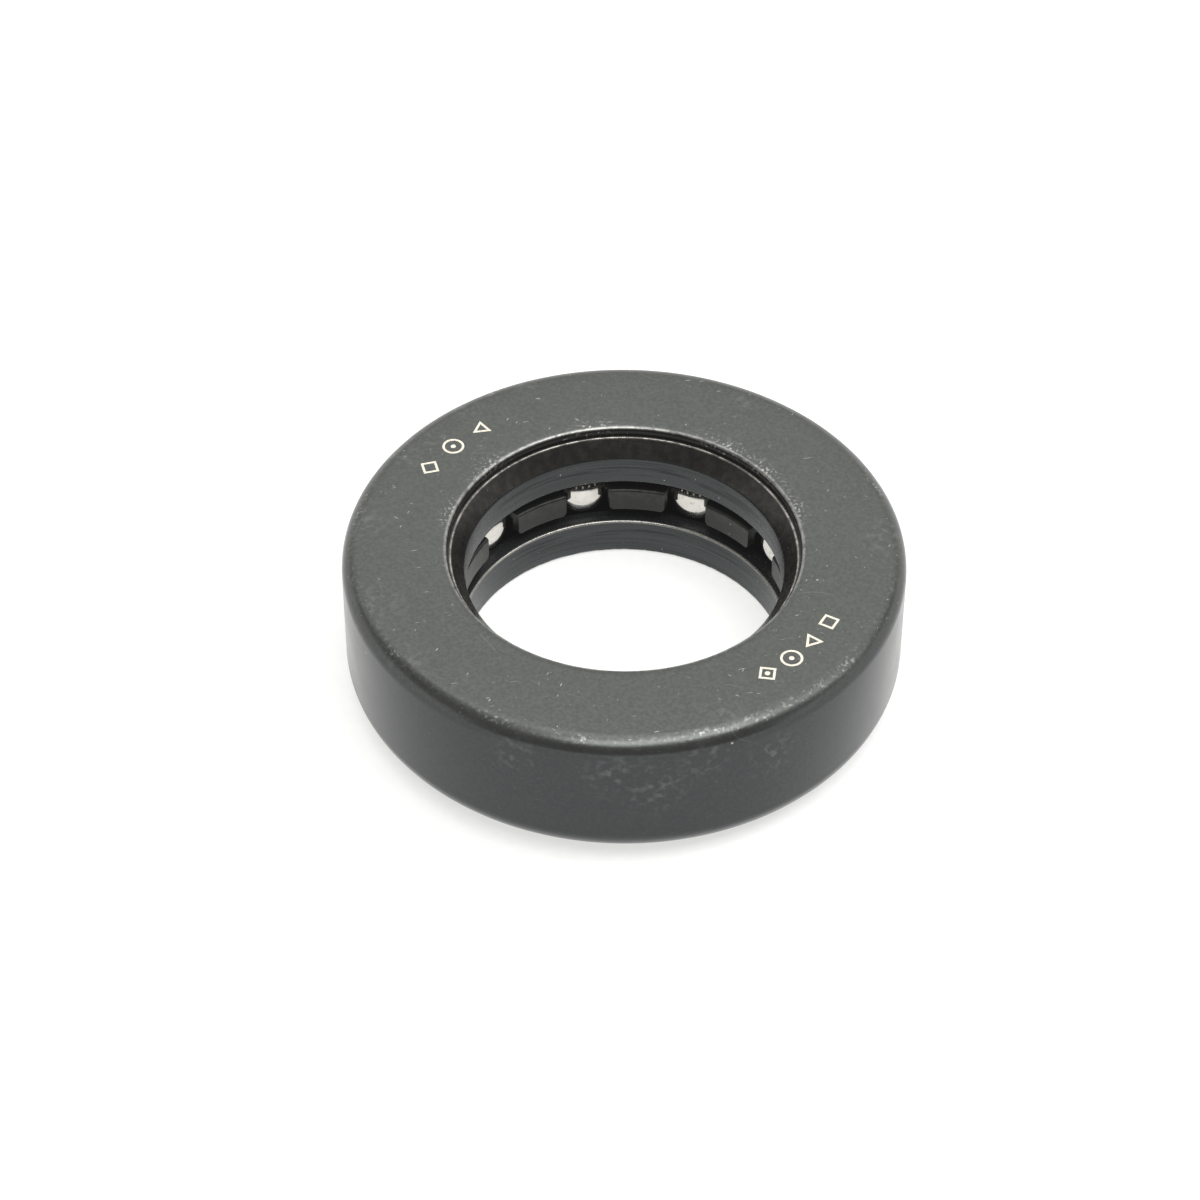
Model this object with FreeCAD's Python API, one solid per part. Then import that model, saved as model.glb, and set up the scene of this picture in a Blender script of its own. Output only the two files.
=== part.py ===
import FreeCAD, Part
import math
import os

# Banded thrust ball bearing, standing on its lower race.
# Millimetres. Z is the axis of rotation, and the lower race's bottom face is at Z = 0.
# Every ring is an outline in the XZ plane, turned about Z.

# Overall sizes
band_outer_radius = 27.585
overall_height = 15.875
lower_bore_radius = 16.065

# Retaining band: a drawn sheet shell with a flat flange on top and a foot rolled in below
band_sheet = 1.04
band_hole_rounding = 0.42
band_shoulder_radius = 2.0
band_foot_radius = 3.0
band_foot_height = 0.95
band_foot_angle = 70.0

# Races: the upper one takes up what the overall height leaves
bore_step = 0.415
upper_entry_chamfer = 1.3
upper_entry_depth = 1.75
upper_land_width = 0.3
lower_race_height = 4.16
race_edge_break = 0.2
race_bottom_chamfer = 0.25

# Balls
ball_diameter = 7.9375
ball_count = 10
first_ball_angle = 31.0
ball_setback = 0.58
groove_depth = 1.07
groove_conformity = 0.53

# Cage: a channel pressed from sheet, open at the bottom, notched at each ball on its inner side
cage_sheet = 0.8
cage_height = 2.65
cage_setback = 0.085
cage_bend_radius = 0.3
cage_notch_width = 4.5

# Clearances
shoulder_clearance = 0.2
lower_race_clearance = 0.45
groove_clearance = 0.06
pocket_clearance = 0.12

# Heights, worked out from the sizes above
band_underside = overall_height - band_sheet
upper_race_bottom = lower_race_height + ball_diameter - 2 * groove_depth
ball_height = (lower_race_height + upper_race_bottom) / 2
cage_top = ball_height + cage_height / 2
cage_bottom = ball_height - cage_height / 2
foot_centre_height = band_foot_height + band_foot_radius

# Radii, worked out from the bore outwards
ball_radius = ball_diameter / 2
pocket_radius = ball_radius + pocket_clearance
groove_radius = groove_conformity * ball_diameter
upper_bore_radius = lower_bore_radius - bore_step
band_hole_radius = upper_bore_radius + upper_entry_chamfer + upper_land_width
cage_inner_radius = lower_bore_radius + cage_setback
pitch_radius = cage_inner_radius + ball_setback + ball_radius
cage_outer_radius = pitch_radius + pocket_radius + cage_sheet
band_inner_radius = band_outer_radius - band_sheet
foot_centre_radius = band_outer_radius - band_foot_radius
lower_race_outer_radius = band_inner_radius - lower_race_clearance

Z_AXIS = FreeCAD.Vector(0, 0, 1)
ORIGIN = FreeCAD.Vector(0, 0, 0)


def point(radius, height):
    return FreeCAD.Vector(radius, 0, height)


def line(start, end):
    return Part.LineSegment(start, end).toShape()


def arc(centre_radius, centre_height, arc_radius, start_degrees, end_degrees):
    points = []
    for degrees in (start_degrees, (start_degrees + end_degrees) / 2, end_degrees):
        angle = math.radians(degrees)
        points.append(point(centre_radius + arc_radius * math.cos(angle),
                            centre_height + arc_radius * math.sin(angle)))
    return Part.Arc(*points).toShape()


def first_point(edge):
    return edge.valueAt(edge.FirstParameter)


def last_point(edge):
    return edge.valueAt(edge.LastParameter)


def turned(outline):
    # joins the outline's pieces end to end with straight lines, closes it and turns it about the axis
    edges = []
    for index, edge in enumerate(outline):
        following = outline[(index + 1) % len(outline)]
        edges.append(edge)
        if last_point(edge).distanceToPoint(first_point(following)) > 1e-6:
            edges.append(line(last_point(edge), first_point(following)))
    return Part.Face(Part.Wire(edges)).revolve(ORIGIN, Z_AXIS, 360)


def ball_angle(index):
    return first_ball_angle + index * 360.0 / ball_count


def ball_centre(index):
    angle = math.radians(ball_angle(index))
    return FreeCAD.Vector(pitch_radius * math.cos(angle), pitch_radius * math.sin(angle), ball_height)


def groove_ring(side):
    # the round-bottomed groove as a solid ring: side is 1 for the upper race and -1 for the lower
    offset = groove_radius - ball_radius - groove_clearance
    centre = FreeCAD.Vector(0, 0, ball_height - side * offset)
    return Part.makeTorus(pitch_radius, groove_radius, centre, Z_AXIS)


def make_retaining_band():
    shoulder_centre_radius = band_outer_radius - band_shoulder_radius
    shoulder_centre_height = overall_height - band_shoulder_radius
    lip_centre_radius = band_hole_radius + band_hole_rounding
    return turned([
        arc(lip_centre_radius, overall_height - band_hole_rounding, band_hole_rounding, 180, 90),
        arc(shoulder_centre_radius, shoulder_centre_height, band_shoulder_radius, 90, 0),
        arc(foot_centre_radius, foot_centre_height, band_foot_radius, 0, -band_foot_angle),
        arc(foot_centre_radius, foot_centre_height, band_foot_radius - band_sheet, -band_foot_angle, 0),
        arc(shoulder_centre_radius, shoulder_centre_height, band_shoulder_radius - band_sheet, 0, 90),
        line(point(lip_centre_radius, band_underside), point(band_hole_radius, band_underside)),
    ])


def make_upper_race():
    corner = band_shoulder_radius - band_sheet + shoulder_clearance
    ring = turned([
        line(point(upper_bore_radius, band_underside - upper_entry_depth),
             point(upper_bore_radius + upper_entry_chamfer, band_underside)),
        arc(band_inner_radius - corner, band_underside - corner, corner, 90, 0),
        line(point(band_inner_radius, upper_race_bottom + race_edge_break),
             point(band_inner_radius - race_edge_break, upper_race_bottom)),
        line(point(upper_bore_radius + race_edge_break, upper_race_bottom),
             point(upper_bore_radius, upper_race_bottom + race_edge_break)),
    ])
    return ring.cut(groove_ring(1))


def make_heel_relief():
    # what is turned off the lower race's outside so that the band's foot can roll in under it
    heel_radius = lower_race_outer_radius - foot_centre_radius
    spill = band_sheet
    return turned([
        arc(foot_centre_radius, foot_centre_height, heel_radius, -90, 0),
        line(point(band_outer_radius, foot_centre_height), point(band_outer_radius, -spill)),
        line(point(foot_centre_radius - race_bottom_chamfer - spill, -spill),
             point(foot_centre_radius, race_bottom_chamfer)),
    ])


def make_lower_race():
    ring = turned([
        line(point(lower_bore_radius, lower_race_height - race_edge_break),
             point(lower_bore_radius + race_edge_break, lower_race_height)),
        line(point(lower_race_outer_radius, lower_race_height), point(lower_race_outer_radius, 0)),
        line(point(lower_bore_radius + race_bottom_chamfer, 0),
             point(lower_bore_radius, race_bottom_chamfer)),
    ])
    return ring.cut(make_heel_relief()).cut(groove_ring(-1))


def make_notch(index):
    # a slot through the inner flange and the web, from the bore as far as the ball's centre line
    slot = Part.makeBox(pitch_radius, cage_notch_width, cage_height + 2 * cage_sheet,
                        FreeCAD.Vector(0, -cage_notch_width / 2, cage_bottom - cage_sheet))
    slot.rotate(ORIGIN, Z_AXIS, ball_angle(index))
    return slot


def make_ball_cage():
    bend_height = cage_top - cage_bend_radius
    web_underside = cage_top - cage_sheet
    outer_flange_face = cage_outer_radius - cage_sheet
    inner_flange_face = cage_inner_radius + cage_sheet
    channel = turned([
        arc(cage_inner_radius + cage_bend_radius, bend_height, cage_bend_radius, 180, 90),
        arc(cage_outer_radius - cage_bend_radius, bend_height, cage_bend_radius, 90, 0),
        line(point(cage_outer_radius, cage_bottom), point(outer_flange_face, cage_bottom)),
        line(point(outer_flange_face, web_underside), point(inner_flange_face, web_underside)),
        line(point(inner_flange_face, cage_bottom), point(cage_inner_radius, cage_bottom)),
    ])
    for index in range(ball_count):
        channel = channel.cut(Part.makeSphere(pocket_radius, ball_centre(index)))
        channel = channel.cut(make_notch(index))
    return channel


def make_ball(index):
    ball = Part.makeSphere(ball_radius)
    ball.Placement = FreeCAD.Placement(ball_centre(index), FreeCAD.Rotation(Z_AXIS, ball_angle(index)))
    return ball


def save(name, shape):
    shape = shape.removeSplitter()
    if not shape.isValid() or len(shape.Solids) != 1:
        raise ValueError(name + " is not one valid solid")
    shape.exportStep("parts/" + name + ".step")
    print(name, "volume", round(shape.Volume, 2), "mm3")


os.makedirs("parts", exist_ok=True)
save("retaining_band", make_retaining_band())
save("upper_race", make_upper_race())
save("lower_race", make_lower_race())
save("ball_cage", make_ball_cage())
for ball_index in range(ball_count):
    save("ball_%02d" % (ball_index + 1), make_ball(ball_index))
print("pitch radius", round(pitch_radius, 4), "ball height", round(ball_height, 4),
      "upper race bottom", round(upper_race_bottom, 4), "cage outer radius", round(cage_outer_radius, 4))
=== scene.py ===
import math

import bmesh
import bpy
from mathutils import Matrix, Vector


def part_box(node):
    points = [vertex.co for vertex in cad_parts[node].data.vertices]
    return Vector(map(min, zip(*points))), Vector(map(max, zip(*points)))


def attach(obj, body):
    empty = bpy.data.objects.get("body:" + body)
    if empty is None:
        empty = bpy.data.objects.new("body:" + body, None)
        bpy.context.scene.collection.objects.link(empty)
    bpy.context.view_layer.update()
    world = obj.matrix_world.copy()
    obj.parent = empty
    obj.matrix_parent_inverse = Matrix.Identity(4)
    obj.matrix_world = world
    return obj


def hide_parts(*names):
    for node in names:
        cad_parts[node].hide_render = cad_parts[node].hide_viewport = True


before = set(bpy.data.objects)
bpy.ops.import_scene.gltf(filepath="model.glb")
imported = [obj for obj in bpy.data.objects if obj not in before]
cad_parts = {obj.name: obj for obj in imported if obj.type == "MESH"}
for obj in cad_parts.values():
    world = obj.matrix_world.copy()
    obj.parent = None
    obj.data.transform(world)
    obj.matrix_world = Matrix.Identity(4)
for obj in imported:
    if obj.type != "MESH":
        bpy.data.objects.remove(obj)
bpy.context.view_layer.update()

# Banded thrust ball bearing: looks for the turned band, the two races, the cage and the ten balls.
# The bearing's sizes are in millimetres, which mm turns into metres, and the studio's are in metres.
mm = 0.001
ringSteps = 256    # steps round a turned ring
arcStep = 8        # degrees of a rounded corner to one step
ballNames = sorted(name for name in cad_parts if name.startswith("ball_") and name != "ball_cage")


# colours and nodes

def linearColour(hexText):
    # sRGB hex to the linear colour that a shader takes
    channels = [int(hexText[start:start + 2], 16) / 255 for start in (1, 3, 5)]
    return [c / 12.92 if c <= 0.04045 else ((c + 0.055) / 1.055) ** 2.4 for c in channels] + [1]


def perMm(size):
    # a texture's scale for a feature of that many millimetres
    return 1 / (size * mm)


def setInputs(tree, node, inputs):
    # each input takes another node, one of its sockets, or a plain value
    for socket, value in inputs.items():
        if isinstance(value, bpy.types.Node):
            value = value.outputs[0]
        if isinstance(value, bpy.types.NodeSocket):
            tree.links.new(value, node.inputs[socket])
        else:
            node.inputs[socket].default_value = value


def addNode(tree, kind, inputs=None, **settings):
    # one node with its settings and inputs
    node = tree.nodes.new("ShaderNode" + kind)
    for name, value in settings.items():
        setattr(node, name, value)
    setInputs(tree, node, inputs or {})
    return node


def startMaterial(name):
    material = bpy.data.materials.new(name)
    material.use_nodes = True
    tree = material.node_tree
    tree.nodes.clear()
    shader = addNode(tree, "BsdfPrincipled")
    addNode(tree, "OutputMaterial", {"Surface": shader})
    coords = addNode(tree, "TexCoord").outputs["Object"]
    return material, tree, shader, coords


def addRelief(tree, shader, height, depth, **settings):
    # fine surface relief of that depth in mm
    bump = addNode(tree, "Bump", {"Height": height, "Distance": depth * mm, "Strength": 1.0}, **settings)
    setInputs(tree, shader, {"Normal": bump})


def combine(tree, operation, first, second):
    return addNode(tree, "Math", {0: first, 1: second}, operation=operation, use_clamp=True)


def times(tree, first, second):
    return combine(tree, "MULTIPLY", first, second)


def spread(tree, value, low, high):
    # a mask from 0 to 1, spread over another range
    return addNode(tree, "MapRange", {"Value": value, "To Min": low, "To Max": high})


def ramp(tree, value, start, end):
    # 0 where the value is at the start, 1 where it is at the end
    return addNode(tree, "MapRange", {"Value": value, "From Min": start, "From Max": end})


def grain(tree, coords, size, detail=2.0, low=0.35, high=0.65):
    # soft noise of that size in mm, spread to the range 0 to 1
    noise = addNode(tree, "TexNoise", {"Vector": coords, "Scale": perMm(size), "Detail": detail})
    return ramp(tree, noise, low, high)


def specks(tree, coords, spacing, reach, share):
    # small spots: one to a Voronoi cell of that spacing, and only in a share of the cells
    ragged = addNode(tree, "TexNoise", {"Vector": coords, "Scale": perMm(reach), "Detail": 1.0})
    shifted = addNode(tree, "VectorMath", {0: ragged.outputs["Color"], 1: [-0.5] * 3}, operation="ADD")
    moved = addNode(tree, "VectorMath", {0: shifted, 1: [reach * mm * 2] * 3}, operation="MULTIPLY")
    rough = addNode(tree, "VectorMath", {0: coords, 1: moved}, operation="ADD")
    cells = addNode(tree, "TexVoronoi", {"Vector": rough, "Scale": perMm(spacing)})
    near = ramp(tree, cells.outputs["Distance"], reach / spacing, reach / spacing / 2)
    pick = addNode(tree, "SeparateColor", {0: cells.outputs["Color"]})
    kept = addNode(tree, "Math", {0: pick, 1: share}, operation="LESS_THAN")
    return times(tree, near, kept)


def hairlines(tree, coords, wander, width, shift, shown):
    # long fine scratches: contour lines of a smooth noise, shown only where a second noise runs high
    moved = addNode(tree, "VectorMath", {0: coords, 1: [shift * mm] * 3}, operation="ADD")
    swirl = addNode(tree, "TexNoise", {"Vector": moved, "Scale": perMm(wander), "Detail": 0.0})
    centred = addNode(tree, "Math", {0: swirl, 1: 0.5}, operation="SUBTRACT")
    away = addNode(tree, "Math", {0: centred}, operation="ABSOLUTE")
    line = ramp(tree, away, width / wander, 0.0)
    patches = grain(tree, moved, wander / 2, 1.0, shown, shown + 0.08)
    return times(tree, line, patches)


def streaks(tree, coords, turn, length, width, keep):
    # straight scratches in one direction: noise stretched along it, with only its peaks kept
    laid = addNode(tree, "Mapping", {"Vector": coords, "Rotation": [0, 0, math.radians(turn)],
                                     "Scale": [length * mm, width * mm, width * mm]}, vector_type="TEXTURE")
    noise = addNode(tree, "TexNoise", {"Vector": laid, "Scale": 1.0, "Detail": 0.0})
    return ramp(tree, noise, keep, keep + 0.05)


def ringPlace(tree, coords):
    # where a point of a ring lies: in the flat, its radius and its height
    apart = addNode(tree, "SeparateXYZ", {0: coords})
    flat = addNode(tree, "CombineXYZ", {"X": apart.outputs["X"], "Y": apart.outputs["Y"]})
    radius = addNode(tree, "VectorMath", {0: flat}, operation="LENGTH").outputs["Value"]
    return flat, radius, apart.outputs["Z"]


def turnedCoords(tree, coords, drift):
    # for marks that run round a turned ring: quick change along its section, slow change round it
    flat, radius, height = ringPlace(tree, coords)
    along = addNode(tree, "Math", {0: radius, 1: height}, operation="ADD")
    section = addNode(tree, "CombineXYZ", {"Z": along})
    slow = addNode(tree, "VectorMath", {0: flat, 1: [drift] * 3}, operation="MULTIPLY")
    return addNode(tree, "VectorMath", {0: section, 1: slow}, operation="ADD")


def nearEdge(tree, radius, height, edge, reach):
    # 1 on a turned edge given as (radius, height), falling to 0 at that reach from it
    across = addNode(tree, "Math", {0: radius, 1: edge[0] * mm}, operation="SUBTRACT")
    up = addNode(tree, "Math", {0: height, 1: edge[1] * mm}, operation="SUBTRACT")
    apart = addNode(tree, "CombineXYZ", {"X": across, "Y": up})
    distance = addNode(tree, "VectorMath", {0: apart}, operation="LENGTH").outputs["Value"]
    return ramp(tree, distance, reach * mm, 0.0)


def nearLine(tree, radius, height, start, top, line):
    # 1 on a turned line given as (out from the start radius, drop below the top, reach)
    out, drop, reach = line
    return nearEdge(tree, radius, height, (start + out, top - drop), reach)


def nearPoint(tree, coords, place, reach):
    # 1 at a place given as (azimuth, radius, height), falling to 0 at that reach from it
    angle = math.radians(place[0])
    spot = [place[1] * math.cos(angle) * mm, place[1] * math.sin(angle) * mm, place[2] * mm]
    distance = addNode(tree, "VectorMath", {0: coords, 1: spot}, operation="DISTANCE").outputs["Value"]
    return ramp(tree, distance, reach * mm, 0.0)


def blendColour(tree, factor, first, second):
    return addNode(tree, "Mix", {0: factor, 6: first, 7: second}, data_type="RGBA").outputs[2]


def blendNamed(tree, factor, looks, first, second):
    return blendColour(tree, factor, linearColour(looks[first]), linearColour(looks[second]))


def brightest(tree, masks):
    # the strongest of several masks
    total = masks[0]
    for mask in masks[1:]:
        total = combine(tree, "MAXIMUM", total, mask)
    return total


def nearPlaces(tree, coords, places):
    return brightest(tree, [nearPoint(tree, coords, place, reach) for place, reach in places])


# shared shape helpers

def ringReach(node):
    # outer radius, bottom and top of a turned CAD node, in mm
    low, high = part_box(node)
    return min(high.x, high.y, -low.x, -low.y) / mm, low.z / mm, high.z / mm


def turnedOutline(outline):
    # corners (radius, height, rounding) round a ring's section, each corner rounded by a vertex bevel
    bm = bmesh.new()
    corners = [bm.verts.new((radius * mm, 0, height * mm)) for radius, height, _ in outline]
    bm.faces.new(corners)
    for index, corner in enumerate(corners):
        rounding = outline[index][2]
        if rounding:
            before = Vector(outline[index - 1][:2]) - Vector(outline[index][:2])
            after = Vector(outline[(index + 1) % len(outline)][:2]) - Vector(outline[index][:2])
            turn = math.pi - before.angle(after)
            bmesh.ops.bevel(bm, geom=[corner], affect="VERTICES", offset_type="OFFSET",
                            offset=rounding * mm * math.tan(turn / 2), profile=0.5, material=-1,
                            segments=max(2, round(math.degrees(turn) / arcStep)))
    bmesh.ops.delete(bm, geom=list(bm.faces), context="FACES_ONLY")
    return bm


def spinRing(outline, steps):
    bm = turnedOutline(outline)
    bmesh.ops.spin(bm, geom=list(bm.verts) + list(bm.edges), cent=(0, 0, 0), axis=(0, 0, 1),
                   angle=math.tau, steps=steps, use_merge=True)
    bmesh.ops.remove_doubles(bm, verts=list(bm.verts), dist=1e-7)
    bmesh.ops.recalc_face_normals(bm, faces=list(bm.faces))
    return bm


def finishPiece(bm, name, material, body, nodes, sharpAngle=35):
    mesh = bpy.data.meshes.new(name)
    bm.to_mesh(mesh)
    bm.free()
    mesh.shade_smooth()
    mesh.set_sharp_from_angle(angle=math.radians(sharpAngle))
    mesh.materials.append(material)
    piece = bpy.data.objects.new(name, mesh)
    bpy.context.scene.collection.objects.link(piece)
    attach(piece, body)
    if nodes:
        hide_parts(*nodes)
    return piece


def grooveCorners(side, faceHeight, ballHeight):
    # the raceway as an apex between its two edges, to be rounded to the groove's radius
    offset = groove["radius"] - groove["ballRadius"] - groove["clearance"]
    centre = ballHeight - side * offset
    depth = abs(faceHeight - centre)
    half = math.sqrt(groove["radius"] ** 2 - depth ** 2)
    apex = centre + side * groove["radius"] ** 2 / depth
    inner = (groove["pitch"] - half, faceHeight, groove["edgeRounding"])
    outer = (groove["pitch"] + half, faceHeight, groove["edgeRounding"])
    bottom = (groove["pitch"], apex, groove["radius"] * groove["bottomShare"])
    return inner, bottom, outer


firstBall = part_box(ballNames[0])
firstCentre = (firstBall[0] + firstBall[1]) / 2
groove = {
    "ballRadius": (firstBall[1].z - firstBall[0].z) / 2 / mm,
    "pitch": firstCentre.xy.length / mm,
    "radius": 4.207,
    "clearance": 0.06,
    "edgeRounding": 0.12,
    "bottomShare": 0.93,      # share of the radius that the corner rounding has room for
}
ballHeight = firstCentre.z / mm


# retaining band

bandLooks = {
    "oxide": "#494B49",        # black iron oxide, nearly neutral
    "oxideThin": "#535552",    # where the oxide film is thinner
    "sheared": "#232321",      # the punched edge of the hole: partly its own dull skin, partly painted shade, darkest low down
    "wall": "#3B3D3F",         # painted shade: the wall is coloured darker than the flange
    "bareSteel": "#CBCAC6",    # steel showing in nicks and scratches, also used for the painted highlights on the lip and shoulder
    "handled": "#787A7A",      # grey scuffs where the skin is rubbed
    "faceRoughness": 0.36,
    "wallRoughness": 0.21,     # the drawn wall is ironed smoother than the flange
    "smudge": (-0.025, 0.035),
    "metallic": 0.85,          # the rest is the oxide's own dull black
    "relief": 0.0025,
    "faceDepth": 1.6,          # the wall's look takes over this far below the top
    # noise as (size, detail, where it starts to show, where it shows fully)
    "fine": (0.35, 3.0),
    "mottle": (1.3, 3.0),
    "cloud": (6.0, 3.0),
    "shoulderCrumbs": (0.42, 4.0, 0.54, 0.66),
    "holeCrumbs": (0.3, 3.0, 0.55, 0.66),
    "lipBreaks": (0.7, 3.0, 0.34, 0.56),
    "scuffPatches": (0.8, 5.0, 0.50, 0.66),
    # spots as (spacing, reach, share of the places)
    "nicks": (3.1, 0.14, 0.22),
    "dots": (1.5, 0.075, 0.12),
    # short straight scratches as (direction, length, width, rarity)
    "dashes": [(14, 1.3, 0.14, 0.845), (62, 0.7, 0.13, 0.845), (-35, 1.0, 0.12, 0.845)],
    # long fine scratches as (wander, width, shift, rarity)
    "hairs": [(11.0, 0.05, 3.0, 0.62), (7.0, 0.04, 41.0, 0.66)],
    # turned lines as (out, drop, reach): the shoulder's from the outside radius, the others from the hole's
    "shoulder": (-1.05, 0.16, 0.75),
    "holeRim": (0.3, 0.0, 1.5),
    "lip": (0.2, 0.14, 0.26),
    "punchedEdge": (0.0, 0.78, 0.72),
    # how strongly each shows, as one value or a range
    "hairStrength": 0.12,
    "shoulderStrength": (0.12, 0.6),
    "lipStrength": 0.62,
    "lipGaps": (0.3, 1.0),
    "shearedStrength": 3.0,
    "wallShare": (0.15, 1.0),  # on the wall, dots and dashes are fainter
    "mottleStrength": 0.35,
    "wallGrain": 0.4,
    "scuffStrength": 0.38,
    "bareStrength": 0.7,
    # scuffed places, as ((azimuth, radius, height), reach)
    "scuffs": [((268, 27.6, 12.2), 4.0), ((276, 27.6, 10.5), 4.5), ((286, 27.6, 13.2), 3.5),
               ((300, 27.6, 11.0), 3.5), ((248, 27.6, 13.0), 3.0), ((2, 25.6, 15.9), 3.5),
               ((200, 25.5, 15.9), 4.0), ((172, 25.8, 15.9), 3.5), ((150, 26.0, 15.9), 3.0),
               ((292, 24.6, 15.9), 2.2), ((60, 25.0, 15.9), 2.2), ((218, 26.0, 15.9), 2.6),
               ((128, 26.2, 15.9), 2.6), ((140, 24.8, 15.9), 2.0), ((112, 26.4, 15.9), 2.2),
               ((232, 24.2, 15.9), 1.8), ((55, 19.0, 15.9), 1.6), ((75, 26.5, 15.9), 2.4)],
    # where the shoulder's wear and painted highlight are brightest, laid out in the same way
    "shoulderRubs": [((286, 26.8, 15.5), 3.4), ((297, 26.8, 15.5), 3.0), ((309, 26.8, 15.5), 3.6),
                     ((322, 26.8, 15.5), 2.6), ((262, 26.8, 15.5), 1.6), ((243, 26.8, 15.5), 2.4),
                     ((215, 26.8, 15.5), 2.4), ((170, 26.8, 15.5), 3.0), ((20, 26.8, 15.5), 2.6),
                     ((120, 26.8, 15.5), 2.4)],
    # where the rim of the hole is rubbed most
    "holeRubs": [((55, 17.9, 15.8), 4.0), ((38, 17.9, 15.8), 4.5), ((18, 17.9, 15.8), 3.0),
                 ((140, 17.9, 15.8), 3.5), ((165, 17.9, 15.8), 3.0), ((100, 17.9, 15.8), 3.0)],
}


def bandWearAndHighlights(tree, coords, radius, height, onFace):
    # where bare steel shows and highlights are painted: nicks, dots, dashes, hairline scratches, rubbed
    # edges, and the shoulder and the hole's lip, which are partly painted highlights
    outer, _, high = ringReach("retaining_band")
    hole = bandShape["holeRadius"]
    looks = bandLooks
    nicks = specks(tree, coords, *looks["nicks"])
    dots = specks(tree, coords, *looks["dots"])
    dashes = brightest(tree, [streaks(tree, coords, *dash) for dash in looks["dashes"]])
    small = times(tree, brightest(tree, [dots, dashes]), spread(tree, onFace, *looks["wallShare"]))
    hairs = brightest(tree, [hairlines(tree, coords, *hair) for hair in looks["hairs"]])
    faintHairs = times(tree, hairs, looks["hairStrength"])

    # partly real wear, partly painted highlight: bright crumbs along the shoulder where the light's
    # reflection lies
    shoulder = nearLine(tree, radius, height, outer, high, looks["shoulder"])
    shoulderCrumbs = times(tree, shoulder, grain(tree, coords, *looks["shoulderCrumbs"]))
    shoulderBrightest = spread(tree, nearPlaces(tree, coords, looks["shoulderRubs"]), *looks["shoulderStrength"])
    shoulderWearAndHighlight = times(tree, shoulderCrumbs, shoulderBrightest)

    holeRim = nearLine(tree, radius, height, hole, high, looks["holeRim"])
    rubbedRim = nearPlaces(tree, coords, looks["holeRubs"])
    holeCrumbs = times(tree, grain(tree, coords, *looks["holeCrumbs"]), rubbedRim)
    holeRubbed = times(tree, holeRim, holeCrumbs)

    # partly real wear, partly painted highlight: the lip's rim is brightened as bare steel
    lip = nearLine(tree, radius, height, hole, high, looks["lip"])
    lipBreaks = spread(tree, grain(tree, coords, *looks["lipBreaks"]), *looks["lipGaps"])
    lipWearAndHighlight = times(tree, times(tree, lip, looks["lipStrength"]), lipBreaks)
    return brightest(tree, [nicks, small, faintHairs, shoulderWearAndHighlight, holeRubbed, lipWearAndHighlight])


def blackOxideSheetSteel():
    # cold-drawn sheet steel, blackened: a dark satin skin with a faint even mottle, small bright nicks,
    # a few hairline scratches, rubbed places along the shoulder and low on the front wall, painted shade on
    # the wall and on the hole's punched edge, and painted highlights along the shoulder and the lip
    material, tree, shader, coords = startMaterial("blackOxideSheetSteel")
    _, radius, height = ringPlace(tree, coords)
    _, _, high = ringReach("retaining_band")
    looks = bandLooks
    fine = grain(tree, coords, *looks["fine"])
    mottle = grain(tree, coords, *looks["mottle"])
    cloud = grain(tree, coords, *looks["cloud"])
    onFace = ramp(tree, height, (high - looks["faceDepth"]) * mm, high * mm)

    skin = blendNamed(tree, fine, looks, "oxide", "oxideThin")
    uneven = times(tree, times(tree, mottle, cloud), looks["mottleStrength"])
    skin = blendColour(tree, uneven, skin, linearColour(looks["oxideThin"]))
    # painted shade: below the flange the wall takes a darker colour
    wall = blendNamed(tree, times(tree, fine, looks["wallGrain"]), looks, "wall", "oxide")
    skin = blendColour(tree, onFace, wall, skin)
    scuffs = times(tree, grain(tree, coords, *looks["scuffPatches"]),
                   nearPlaces(tree, coords, looks["scuffs"]))
    scuffed = times(tree, scuffs, looks["scuffStrength"])
    skin = blendColour(tree, scuffed, skin, linearColour(looks["handled"]))
    # partly the punched edge's dull skin, partly painted shade: darkest low on the hole's edge, near the gap
    # above the race
    punched = nearLine(tree, radius, height, bandShape["holeRadius"], high, looks["punchedEdge"])
    sheared = times(tree, punched, looks["shearedStrength"])
    skin = blendColour(tree, sheared, skin, linearColour(looks["sheared"]))
    # bare steel in wear, together with painted highlights on the lip and the shoulder
    bareAndHighlight = times(tree, bandWearAndHighlights(tree, coords, radius, height, onFace), looks["bareStrength"])
    skin = blendColour(tree, bareAndHighlight, skin, linearColour(looks["bareSteel"]))

    satin = spread(tree, onFace, looks["wallRoughness"], looks["faceRoughness"])
    smudged = spread(tree, cloud, *looks["smudge"])
    roughness = addNode(tree, "Math", {0: satin, 1: smudged}, operation="ADD")
    setInputs(tree, shader, {"Base Color": skin, "Metallic": looks["metallic"], "Roughness": roughness})
    addRelief(tree, shader, fine, looks["relief"])
    return material


bandShape = {
    "sheet": 1.04,
    "holeRadius": 17.25,
    "edgeBreak": 0.05,
    "lipRounding": 0.42,
    "lipDrop": 0.12,          # the punched hole's edge is drawn down a little
    "lipFade": 0.9,
    "lipBlend": 3.0,
    "rimDrop": 0.10,          # the flange falls away a little before the shoulder
    "rimFade": 3.6,
    "rimBlend": 30.0,
    "shoulderRadius": 1.95,
    "insideShoulder": 0.93,
    "footRadius": 3.0,
    "footHeight": 0.95,
    "footAngle": 70.0,
    "footShare": 0.985,       # shares of the foot's two radii that the corner roundings have room for
    "insideFootShare": 0.97,
    "markDepth": 0.01,
}


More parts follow.
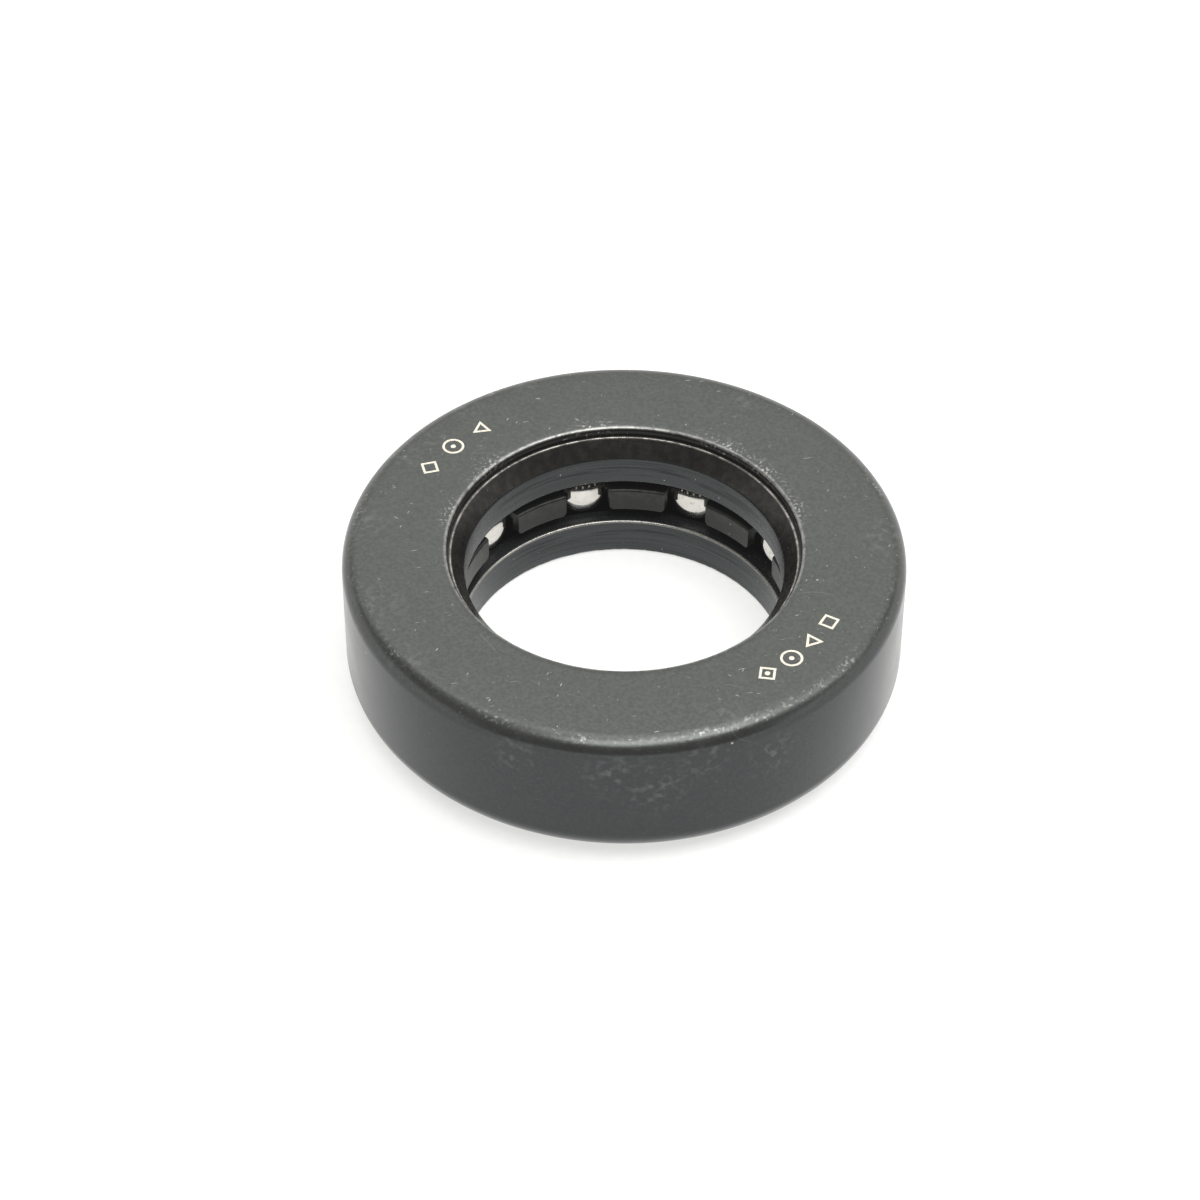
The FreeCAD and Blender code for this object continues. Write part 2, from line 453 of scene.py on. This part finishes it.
def makeBand():
    outer, _, high = ringReach("retaining_band")
    shape = bandShape
    top = high - shape["markDepth"]
    inner = outer - shape["sheet"]
    under = high - shape["sheet"]
    hole = shape["holeRadius"]
    angle = math.radians(shape["footAngle"])
    footCentre = (outer - shape["footRadius"], shape["footHeight"] + shape["footRadius"])
    innerFoot = shape["footRadius"] - shape["sheet"]
    outerCorner = footCentre[1] - shape["footRadius"] * math.tan(angle / 2)
    innerCorner = footCentre[1] - innerFoot * math.tan(angle / 2)
    along = (math.cos(angle), -math.sin(angle))
    outerEnd = (footCentre[0] + shape["footRadius"] * along[0],
                footCentre[1] + shape["footRadius"] * along[1])
    innerEnd = (footCentre[0] + innerFoot * along[0], footCentre[1] + innerFoot * along[1])
    bm = spinRing([
        (hole, under, shape["edgeBreak"]),
        (hole, top - shape["lipDrop"], shape["lipRounding"]),
        (hole + shape["lipFade"], top, shape["lipBlend"]),
        (outer - shape["rimFade"], top, shape["rimBlend"]),
        (outer, top - shape["rimDrop"], shape["shoulderRadius"]),
        (outer, outerCorner, shape["footRadius"] * shape["footShare"]),
        (outerEnd[0], outerEnd[1], 0.0),
        (innerEnd[0], innerEnd[1], 0.0),
        (inner, innerCorner, innerFoot * shape["insideFootShare"]),
        (inner, under, shape["insideShoulder"]),
    ], ringSteps)
    return finishPiece(bm, "drawnBand", blackOxideSheetSteel(), "upper_ring",
                       ["retaining_band"])


# races

raceLooks = {
    "oxide": "#383A3B",        # black oxide over hardened steel, a little blue
    "oxideThin": "#424547",
    "oxideBrown": "#232220",   # the entry chamfer has kept a browner film
    "oxideBrownThin": "#33312D",
    "scored": "#2B2C2E",       # deeper tool marks
    "bareSteel": "#C9C6BE",
    "roughness": (0.25, 0.33),
    "metallic": 0.72,
    "relief": 0.003,
    "drift": 0.02,             # how quickly the feed marks change on the way round the ring
    "scoreDrift": 0.045,
    # noise as (size in mm, detail, where it starts to show, where it shows fully)
    "feed": (0.3, 2.0),        # feed marks of the lathe, drawn a little coarse so that they show
    "scores": (0.36, 1.0, 0.555, 0.64),
    "fine": (0.3, 2.0),
    "edgeBreaks": (0.8, 3.0, 0.42, 0.60),
    "stains": (0.9, 5.0, 0.40, 0.66),
    # spots as (spacing, reach, share of the places)
    "nicks": [(1.6, 0.12, 0.10), (0.8, 0.07, 0.16)],
    "cornerIn": 0.06,          # a broken corner's middle lies this far inside its sharp one
    "scoredReach": (1.3, 0.5),
    "brownFade": (-0.1, 0.15),
    "bareStrength": 0.8,
}


def blackOxideRaceSteel(name, edges, brownFrom, scoredAt):
    # turned and hardened ring, blackened: fine feed marks run round it, a few thin dark scores lie in one
    # part of the bore, a browner film starts at the entry chamfer, and its edges are worn bright, with
    # painted highlights along them
    material, tree, shader, coords = startMaterial(name)
    looks = raceLooks
    _, radius, height = ringPlace(tree, coords)
    feed = grain(tree, turnedCoords(tree, coords, looks["drift"]), *looks["feed"])
    fine = grain(tree, coords, *looks["fine"])
    skin = blendNamed(tree, feed, looks, "oxide", "oxideThin")

    stained = blendNamed(tree, grain(tree, coords, *looks["stains"]), looks, "oxideBrown", "oxideBrownThin")
    fadeStart, fadeEnd = looks["brownFade"]
    brown = ramp(tree, height, (brownFrom + fadeStart) * mm, (brownFrom + fadeEnd) * mm)
    skin = blendColour(tree, brown, skin, stained)

    deeper = grain(tree, turnedCoords(tree, coords, looks["scoreDrift"]), *looks["scores"])
    above = addNode(tree, "Math", {0: height, 1: scoredAt * mm}, operation="SUBTRACT")
    away = addNode(tree, "Math", {0: above}, operation="ABSOLUTE")
    scoredEnd, scoredFull = looks["scoredReach"]
    scoredPart = ramp(tree, away, scoredEnd * mm, scoredFull * mm)
    skin = blendColour(tree, times(tree, deeper, scoredPart), skin, linearColour(looks["scored"]))

    broken = grain(tree, coords, *looks["edgeBreaks"])
    bareParts = [specks(tree, coords, *nick) for nick in looks["nicks"]]
    # bright steel laid along the edges: partly wear, partly painted highlight
    for edge, reach, solid in edges:
        along = nearEdge(tree, radius, height, edge, reach)
        bareParts.append(times(tree, along, spread(tree, broken, solid, 1.0)))
    bareAndHighlight = times(tree, brightest(tree, bareParts), looks["bareStrength"])
    skin = blendColour(tree, bareAndHighlight, skin, linearColour(looks["bareSteel"]))

    roughness = spread(tree, fine, *looks["roughness"])
    setInputs(tree, shader, {"Base Color": skin, "Metallic": looks["metallic"], "Roughness": roughness})
    addRelief(tree, shader, feed, looks["relief"])
    return material


upperRaceShape = {
    "boreRadius": 15.65,
    "entryChamfer": 1.3,
    "entryDepth": 1.75,
    "entryEdge": 0.08,
    "entryBlend": 0.5,
    "outerCorner": 1.16,
    "edgeBreak": 0.2,
    "scoresBelow": 1.2,       # the scores lie this far below the entry
}


def makeUpperRace():
    outer, low, high = ringReach("upper_race")
    shape = upperRaceShape
    bore = shape["boreRadius"]
    chamfer = shape["entryChamfer"]
    entry = high - shape["entryDepth"]
    inner, bottom, outerEdge = grooveCorners(1, low, ballHeight)
    bm = spinRing([
        (bore, low, shape["edgeBreak"]),
        (bore, entry, shape["entryBlend"]),
        (bore + chamfer, high, shape["entryEdge"]),
        (outer, high, shape["outerCorner"]),
        (outer, low, shape["edgeBreak"]),
        outerEdge,
        bottom,
        inner,
    ], ringSteps)
    # turned edges worn bright, partly real wear and partly painted highlights: place, reach and how unbroken
    # the wear is
    cornerIn = raceLooks["cornerIn"]
    wornEdgesAndHighlights = [((bore + chamfer, high), 0.17, 0.35), ((bore + cornerIn, low + cornerIn), 0.1, 0.0)]
    material = blackOxideRaceSteel("blackOxideRaceSteelUpper", wornEdgesAndHighlights, entry, entry - shape["scoresBelow"])
    return finishPiece(bm, "upperRaceRing", material, "upper_ring", ["upper_race"],
                       sharpAngle=25)


lowerRaceShape = {
    "boreRadius": 16.065,
    "spigotInset": 1.51,
    "heelHeight": 2.44,
    "heelRadius": 1.35,
    "edgeBreak": 0.18,
    "bottomChamfer": 0.25,
    "chamferEdge": 0.06,
    "undercut": 0.12,
    "scoresBelow": 1.5,
    "noBrown": 5.0,           # the browner film would start this far above the ring, so it has none
}


def makeLowerRace():
    outer, low, high = ringReach("lower_race")
    shape = lowerRaceShape
    bore = shape["boreRadius"]
    spigot = outer - shape["spigotInset"]
    chamfer = shape["bottomChamfer"]
    inner, bottom, outerEdge = grooveCorners(-1, high, ballHeight)
    bm = spinRing([
        (bore, high, shape["edgeBreak"]),
        inner,
        bottom,
        outerEdge,
        (outer, high, shape["edgeBreak"]),
        (outer, shape["heelHeight"], shape["heelRadius"]),
        (spigot, shape["heelHeight"], shape["undercut"]),
        (spigot, low + chamfer, shape["chamferEdge"]),
        (spigot - chamfer, low, shape["chamferEdge"]),
        (bore + chamfer, low, shape["chamferEdge"]),
        (bore, low + chamfer, shape["chamferEdge"]),
    ], ringSteps)
    cornerIn = raceLooks["cornerIn"]
    # the bore's top edge is worn bright, partly real wear and partly a painted highlight
    wornEdgesAndHighlights = [((bore + cornerIn, high - cornerIn), 0.22, 0.75), ((bore, low + chamfer), 0.12, 0.0)]
    material = blackOxideRaceSteel("blackOxideRaceSteelLower", wornEdgesAndHighlights, high + shape["noBrown"],
                                   high - shape["scoresBelow"])
    return finishPiece(bm, "lowerRaceRing", material, "lower_ring", ["lower_race"],
                       sharpAngle=25)


# cage

cageLooks = {
    "steel": "#262726",
    "steelThin": "#2E2F2D",
    "steelPressed": "#3D3E3B",  # painted light: the cage is coloured lighter towards its top
    "bareSteel": "#A8A49A",
    "roughness": (0.33, 0.43),
    "metallic": 0.7,
    "relief": 0.005,
    # noise and spots, laid out as for the races
    "fine": (0.25, 3.0),
    "nicks": (0.9, 0.09, 0.12),
    "burnish": (0.8, 3.0, 0.3, 0.6),
    "burnishFrom": 0.6,         # up from the lower edge
}


def pressedCageSteel():
    # pressed from dark strip: satin, with painted light that makes it lighter towards its top, and with fine
    # press scuffs
    material, tree, shader, coords = startMaterial("pressedCageSteel")
    looks = cageLooks
    _, low, high = ringReach("ball_cage")
    fine = grain(tree, coords, *looks["fine"])
    nicks = specks(tree, coords, *looks["nicks"])
    height = addNode(tree, "SeparateXYZ", {0: coords}).outputs["Z"]
    # painted light: through the mask pressed, the cage's colour grows lighter towards its top
    raised = ramp(tree, height, (low + looks["burnishFrom"]) * mm, high * mm)
    pressed = times(tree, raised, grain(tree, coords, *looks["burnish"]))
    skin = blendNamed(tree, fine, looks, "steel", "steelThin")
    skin = blendColour(tree, pressed, skin, linearColour(looks["steelPressed"]))
    skin = blendColour(tree, nicks, skin, linearColour(looks["bareSteel"]))
    roughness = spread(tree, fine, *looks["roughness"])
    setInputs(tree, shader, {"Base Color": skin, "Metallic": looks["metallic"], "Roughness": roughness})
    addRelief(tree, shader, fine, looks["relief"])
    return material


cageShape = {
    "sheet": 0.8,
    "innerRadius": 16.15,
    "bend": 0.3,
    "innerBend": 0.12,
    "edgeBreak": 0.1,
    "notchWidth": 4.5,
    "pocketClearance": 0.12,
    "padCorner": 0.6,
    "past": 1.0,              # how far a cutter runs past the channel
    "steps": 240,
}


def cageCutters():
    # a ball pocket and a straight notch at each ball
    _, low, high = ringReach("ball_cage")
    shape = cageShape
    reach = groove["ballRadius"] + shape["pocketClearance"]
    half = shape["notchWidth"] / 2
    corner = shape["padCorner"]
    steps = [math.radians(angle) for angle in range(0, 91, 15)]
    side = [(half, high + shape["past"])]
    side += [(half + corner * (1 - math.cos(step)), low + corner * (1 - math.sin(step))) for step in steps]
    side += [(half + corner, low - shape["past"])]
    section = side + [(-across, up) for across, up in reversed(side)]
    bm = bmesh.new()
    for name in ballNames:
        lowCorner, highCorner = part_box(name)
        centre = (lowCorner + highCorner) / 2
        bmesh.ops.create_icosphere(bm, subdivisions=4, radius=reach * mm, matrix=Matrix.Translation(centre))
        near = [bm.verts.new((0, across * mm, up * mm)) for across, up in section]
        made = bmesh.ops.extrude_face_region(bm, geom=[bm.faces.new(near)])
        far = [item for item in made["geom"] if isinstance(item, bmesh.types.BMVert)]
        bmesh.ops.translate(bm, verts=far, vec=(groove["pitch"] * mm, 0, 0))
        turn = Matrix.Rotation(math.atan2(centre.y, centre.x), 4, "Z")
        bmesh.ops.transform(bm, matrix=turn, verts=near + far)
    bmesh.ops.recalc_face_normals(bm, faces=list(bm.faces))
    mesh = bpy.data.meshes.new("cageCutters")
    bm.to_mesh(mesh)
    bm.free()
    cutters = bpy.data.objects.new("cageCutters", mesh)
    bpy.context.scene.collection.objects.link(cutters)
    return cutters


def makeCage():
    outer, low, high = ringReach("ball_cage")
    shape = cageShape
    inner = shape["innerRadius"]
    sheet = shape["sheet"]
    bm = spinRing([
        (inner, low, shape["edgeBreak"]),
        (inner, high, shape["bend"]),
        (outer, high, shape["bend"]),
        (outer, low, shape["edgeBreak"]),
        (outer - sheet, low, shape["edgeBreak"]),
        (outer - sheet, high - sheet, shape["innerBend"]),
        (inner + sheet, high - sheet, shape["innerBend"]),
        (inner + sheet, low, shape["edgeBreak"]),
    ], shape["steps"])
    mesh = bpy.data.meshes.new("cageChannel")
    bm.to_mesh(mesh)
    bm.free()
    channel = bpy.data.objects.new("cageChannel", mesh)
    bpy.context.scene.collection.objects.link(channel)
    cutters = cageCutters()
    cut = channel.modifiers.new("pockets", "BOOLEAN")
    cut.operation = "DIFFERENCE"
    cut.solver = "EXACT"
    cut.use_self = True
    cut.object = cutters
    bpy.context.view_layer.update()
    pressed = bpy.data.meshes.new_from_object(channel.evaluated_get(bpy.context.evaluated_depsgraph_get()))
    bpy.data.objects.remove(channel)
    bpy.data.objects.remove(cutters)
    bm = bmesh.new()
    bm.from_mesh(pressed)
    bmesh.ops.remove_doubles(bm, verts=list(bm.verts), dist=1e-6)
    return finishPiece(bm, "pressedCage", pressedCageSteel(), "cage", ["ball_cage"],
                       sharpAngle=28)


# balls

ballLooks = {
    "steel": "#DAD8D3",
    "steelDull": "#BDB9AF",
    "stain": "#5E5446",        # specks of old oil
    "roughness": (0.05, 0.17),
    "metallic": 1.0,
    "relief": 0.001,
    # noise, running marks and spots, laid out as for the band
    "haze": (1.6, 3.0),
    "hazeStrength": 0.5,
    "lines": [(3.0, 0.03, 5.0, 0.5), (2.2, 0.03, 17.0, 0.52)],
    "oilSpots": (0.9, 0.13, 0.25),
    "oilFilm": (0.7, 4.0, 0.60, 0.74),
    "oilStrength": 0.5,
}


def polishedChromeSteel():
    # lapped bearing steel: mirror bright, with a faint haze of handling and hair-thin running marks
    material, tree, shader, coords = startMaterial("polishedChromeSteel")
    looks = ballLooks
    haze = times(tree, grain(tree, coords, *looks["haze"]), looks["hazeStrength"])
    lines = brightest(tree, [hairlines(tree, coords, *line) for line in looks["lines"]])
    dull = brightest(tree, [haze, lines])
    skin = blendNamed(tree, dull, looks, "steel", "steelDull")
    oil = brightest(tree, [specks(tree, coords, *looks["oilSpots"]), grain(tree, coords, *looks["oilFilm"])])
    skin = blendColour(tree, times(tree, oil, looks["oilStrength"]), skin, linearColour(looks["stain"]))
    roughness = spread(tree, dull, *looks["roughness"])
    setInputs(tree, shader, {"Base Color": skin, "Metallic": looks["metallic"], "Roughness": roughness})
    addRelief(tree, shader, lines, looks["relief"], invert=True)
    return material


def makeBalls():
    material = polishedChromeSteel()
    for name in ballNames:
        low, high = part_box(name)
        bm = bmesh.new()
        bmesh.ops.create_icosphere(bm, subdivisions=5, radius=groove["ballRadius"] * mm,
                                   matrix=Matrix.Translation((low + high) / 2))
        finishPiece(bm, "lapped" + name.title().replace("_", ""), material, name, [name],
                    sharpAngle=60)


# etched marks

markLooks = {
    "etch": "#E6E0D2",
    "etchDark": "#BDB7A9",
    "roughness": 0.62,
    "metallic": 0.3,
    "relief": 0.01,
    "fine": (0.12, 2.0),
}

markShape = {
    "stroke": 0.24,
    "height": 2.2,
    "radius": 22.3,
    "thickness": 0.008,
    "dotRadius": 0.264,
    # each mark is (azimuth, number of sides, turn, centre dot)
    "marks": [(130, 3, 0, False), (140, 32, 0, True), (150, 4, 0, False),
              (-29, 4, 45, False), (-37, 3, 180, False), (-45, 32, 0, True), (-53, 4, 0, True)],
}


def laserEtchedSteel():
    # laser-frosted steel: pale, matt and slightly grainy where the beam burnt through the oxide
    material, tree, shader, coords = startMaterial("laserEtchedSteel")
    looks = markLooks
    fine = grain(tree, coords, *looks["fine"])
    setInputs(tree, shader, {"Base Color": blendNamed(tree, fine, looks, "etch", "etchDark"),
                             "Metallic": looks["metallic"], "Roughness": looks["roughness"]})
    addRelief(tree, shader, fine, looks["relief"])
    return material


def makeMarks():
    # plain shapes stand for the ring's etched marking: triangles, squares and dotted rings, no letters
    _, _, high = ringReach("retaining_band")
    shape = markShape
    top = (high - bandShape["markDepth"] + shape["thickness"]) * mm
    bm = bmesh.new()
    for azimuth, sides, turn, dotted in shape["marks"]:
        angle = math.radians(azimuth)
        place = Matrix.Rotation(angle, 4, "Z") @ Matrix.Translation((shape["radius"] * mm, 0, top))
        place = place @ Matrix.Rotation(math.radians(turn), 4, "Z")
        made = bmesh.ops.create_circle(bm, cap_ends=True, segments=sides, radius=shape["height"] / 2 * mm,
                                       matrix=place)
        face = made["verts"][0].link_faces[0]
        bmesh.ops.inset_region(bm, faces=[face], thickness=shape["stroke"] * mm, use_even_offset=True,
                               use_boundary=True)
        bmesh.ops.delete(bm, geom=[face], context="FACES")
        if dotted:
            bmesh.ops.create_circle(bm, cap_ends=True, segments=16, radius=shape["dotRadius"] * mm,
                                    matrix=place)
    made = bmesh.ops.extrude_face_region(bm, geom=list(bm.faces))
    lowered = [item for item in made["geom"] if isinstance(item, bmesh.types.BMVert)]
    bmesh.ops.translate(bm, verts=lowered, vec=(0, 0, -2 * shape["thickness"] * mm))
    bmesh.ops.recalc_face_normals(bm, faces=list(bm.faces))
    return finishPiece(bm, "etchedMarks", laserEtchedSteel(), "upper_ring", [])


# floor, light and camera

stageLooks = {
    "floor": "#A4A4A3",
    "floorDark": "#A2A2A1",
    "floorGlow": 1.78,
    "floorSize": 8.0,
    "floorRoughness": 0.9,
    "floorShine": 0.1,
    "fibre": (1.0, 2.0),
    "room": "#9D9B97",
}


def makeFloor():
    # matt pale studio board, with a glow of its own that keeps it even
    bm = bmesh.new()
    bmesh.ops.create_grid(bm, x_segments=8, y_segments=8, size=stageLooks["floorSize"] / 2)
    mesh = bpy.data.meshes.new("studioFloor")
    bm.to_mesh(mesh)
    bm.free()
    material, tree, shader, coords = startMaterial("paleStudioFloor")
    fibre = grain(tree, coords, *stageLooks["fibre"])
    colour = blendNamed(tree, fibre, stageLooks, "floor", "floorDark")
    setInputs(tree, shader, {"Base Color": colour, "Roughness": stageLooks["floorRoughness"],
                             "Specular IOR Level": stageLooks["floorShine"],
                             "Emission Color": colour, "Emission Strength": stageLooks["floorGlow"]})
    mesh.materials.append(material)
    floor = bpy.data.objects.new("studioFloor", mesh)
    bpy.context.scene.collection.objects.link(floor)


lights = {
    # name: (place, aimed at, width, height, radiance)
    "overheadSoftbox": ((0.28, -0.53, 1.62), (0, 0, 0), 1.56, 0.8, 6.6),
    "rightPanel": ((1.45, 0.12, 1.5), (0, 0, 0), 0.9, 0.9, 3.4),
    "backPanel": ((0.0, 1.45, 1.55), (0, 0, 0), 4.4, 1.2, 1.42),
    "leftCard": ((-2.1, 0.4, 0.38), (0, 0.4, 0.38), 3.6, 0.76, 1.05),
    "rightCard": ((2.1, 0.4, 0.38), (0, 0.4, 0.38), 3.6, 0.76, 1.05),
    "backCard": ((0.0, 2.3, 0.42), (0, 0, 0.42), 4.2, 0.84, 1.2),
    "ceilingPanel": ((0.0, 0.42, 1.95), (0, 0, 0), 1.6, 0.95, 2.7),
}


def makeLights():
    for name, (place, aim, width, height, radiance) in lights.items():
        lamp = bpy.data.lights.new(name, "AREA")
        lamp.shape = "RECTANGLE"
        lamp.size = width
        lamp.size_y = height
        lamp.energy = radiance * math.pi * width * height
        holder = bpy.data.objects.new(name, lamp)
        facing = (Vector(aim) - Vector(place)).to_track_quat("-Z", "Y")
        holder.matrix_world = Matrix.Translation(place) @ facing.to_matrix().to_4x4()
        bpy.context.scene.collection.objects.link(holder)
    world = bpy.data.worlds.new("studioRoom")
    world.use_nodes = True
    world.node_tree.nodes["Background"].inputs["Color"].default_value = linearColour(stageLooks["room"])
    bpy.context.scene.world = world


cameraSet = {
    "place": (-0.00235, -0.27184, 0.26801),
    "tilt": 46.31,
    "roll": 0.16,
    "lens": 114.16,
    "sensor": 36,
    "glare": 0.007,           # black level, for light scattered in the lens
}


def makeCamera():
    camera = bpy.data.cameras.new("productCamera")
    camera.sensor_width = cameraSet["sensor"]
    camera.lens = cameraSet["lens"]
    camera.clip_start = 0.01
    holder = bpy.data.objects.new("productCamera", camera)
    holder.matrix_world = (Matrix.Translation(cameraSet["place"])
                           @ Matrix.Rotation(math.radians(cameraSet["tilt"]), 4, "X")
                           @ Matrix.Rotation(math.radians(cameraSet["roll"]), 4, "Z"))
    bpy.context.scene.collection.objects.link(holder)
    bpy.context.scene.camera = holder
    # plain film, with a trace of lens glare that lifts the deepest shadows
    film = bpy.context.scene.view_settings
    film.view_transform = "Standard"
    film.use_curve_mapping = True
    film.curve_mapping.black_level = [-cameraSet["glare"]] * 3
    film.curve_mapping.update()


makeBand()
print("band done")
makeUpperRace()
makeLowerRace()
print("races done")
makeCage()
print("cage done")
makeBalls()
print("balls done")
makeMarks()
print("marks done")
makeFloor()
makeLights()
makeCamera()
print("studio done")
